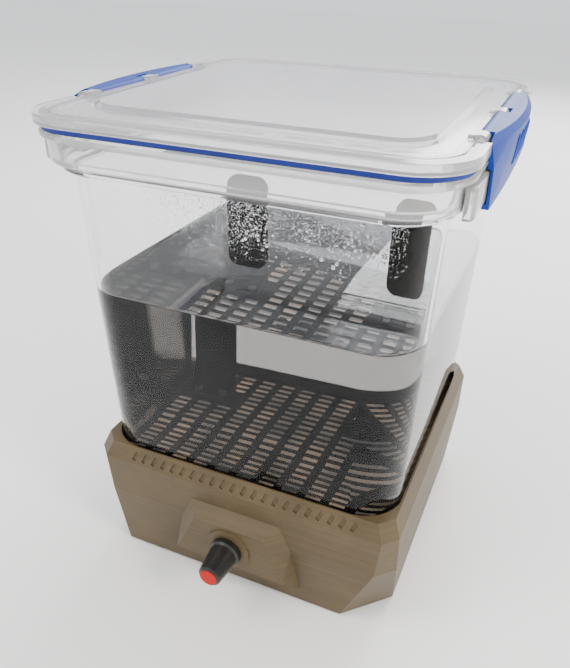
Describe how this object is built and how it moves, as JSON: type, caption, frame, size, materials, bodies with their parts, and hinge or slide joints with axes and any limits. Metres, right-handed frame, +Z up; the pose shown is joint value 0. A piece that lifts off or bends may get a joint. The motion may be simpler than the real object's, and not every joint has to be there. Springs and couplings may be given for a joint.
{
  "type": "resin wash station",
  "caption": "Square printed base with a magnetic stirring drive and speed knob, holding a clear clip-lid tub with a lift-out perforated basket.",
  "frame": {"origin": "on the surface the feet stand on, under the middle of the whole object", "axes": "+Z up, front with the knob towards -Y, +X to the right seen from the front"},
  "size_m": [0.1788, 0.1848, 0.218],
  "materials": {
    "printed_taupe": "matt, layer-lined print",
    "steel": "plain",
    "pin_plastic": "smooth",
    "rubber": "matt",
    "fan_plastic": "matt",
    "bronze": "sintered",
    "copper": "enamelled windings",
    "magnet": "nickel plated",
    "circuit_board": "satin",
    "board_parts": "satin",
    "wire_insulation": "satin",
    "dark_plastic": "satin",
    "knob_black": "satin",
    "cap_red": "satin",
    "clear_tub": "clear, slightly milky",
    "clear_lid": "clear, slightly milky",
    "seal_blue": "satin",
    "clip_blue": "satin",
    "printed_black": "matt, layer-lined print"
  },
  "bodies": {
    "base": {"base_shell": "printed_taupe", "bottom_cover": "printed_taupe", "cover_screws": "steel", "rubber_feet": "rubber", "fan_frame": "fan_plastic", "fan_screws": "steel", "fan_bearing": "bronze", "stator_coils": "copper", "speed_board": "circuit_board", "board_parts": "board_parts", "board_screws": "steel", "wiring": "wire_insulation", "pot_body": "dark_plastic", "pot_washer": "steel", "pot_nut": "steel", "power_jack": "dark_plastic", "jack_nut": "steel"},
    "rotor": {"fan_rotor": "fan_plastic", "rotor_shaft": "steel", "rotor_magnet_ring": "magnet", "magnet_carrier": "printed_taupe", "drive_magnets": "magnet"},
    "knob": {"pot_shaft": "steel", "control_knob": "knob_black", "knob_cap": "cap_red"},
    "tub": {"tub": "clear_tub", "stirrer_pivot": "printed_black"},
    "stirrer": {"stirrer": "printed_black", "stirrer_magnets": "magnet"},
    "basket": {"basket_plate": "printed_black", "basket_legs": "printed_black", "left_basket_arm": "printed_black", "right_basket_arm": "printed_black", "basket_screws": "steel"},
    "lid": {"lid": "clear_lid", "lid_seal": "seal_blue", "left_hinge_pin": "pin_plastic", "right_hinge_pin": "pin_plastic"},
    "left_clip": {"left_clip": "clip_blue"},
    "right_clip": {"right_clip": "clip_blue"}
  },
  "joints": [
    {"name": "tub_lift", "type": "slide", "parent": "base", "child": "tub", "axis": [0, 0, 1], "range_m": [0, 0.06]},
    {"name": "lid_lift", "type": "slide", "parent": "tub", "child": "lid", "axis": [0, 0, 1], "range_m": [0, 0.22]},
    {"name": "basket_lift", "type": "slide", "parent": "tub", "child": "basket", "axis": [0, 0, 1], "range_m": [0, 0.2]},
    {"name": "left_clip_hinge", "type": "hinge", "parent": "lid", "child": "left_clip", "pos_m": [-0.08, 0.0085, 0.2158], "axis": [0, 1, 0], "range_deg": [0, 95]},
    {"name": "right_clip_hinge", "type": "hinge", "parent": "lid", "child": "right_clip", "pos_m": [0.08, 0.0085, 0.2158], "axis": [0, -1, 0], "range_deg": [0, 95]},
    {"name": "knob_turn", "type": "hinge", "parent": "base", "child": "knob", "pos_m": [0, -0.0815, 0.0295], "axis": [0, -1, 0], "range_deg": [-150, 150]},
    {"name": "drive_spin", "type": "hinge", "parent": "base", "child": "rotor", "pos_m": [0, 0.0085, 0.015], "axis": [0, 0, 1], "continuous": true},
    {"name": "stirrer_spin", "type": "hinge", "parent": "tub", "child": "stirrer", "pos_m": [0, 0.0085, 0.042], "axis": [0, 0, 1], "continuous": true}
  ],
  "couplings": [
    {"joint": "basket_lift", "follows": "lid_lift", "ratio": 0.9}
  ]
}
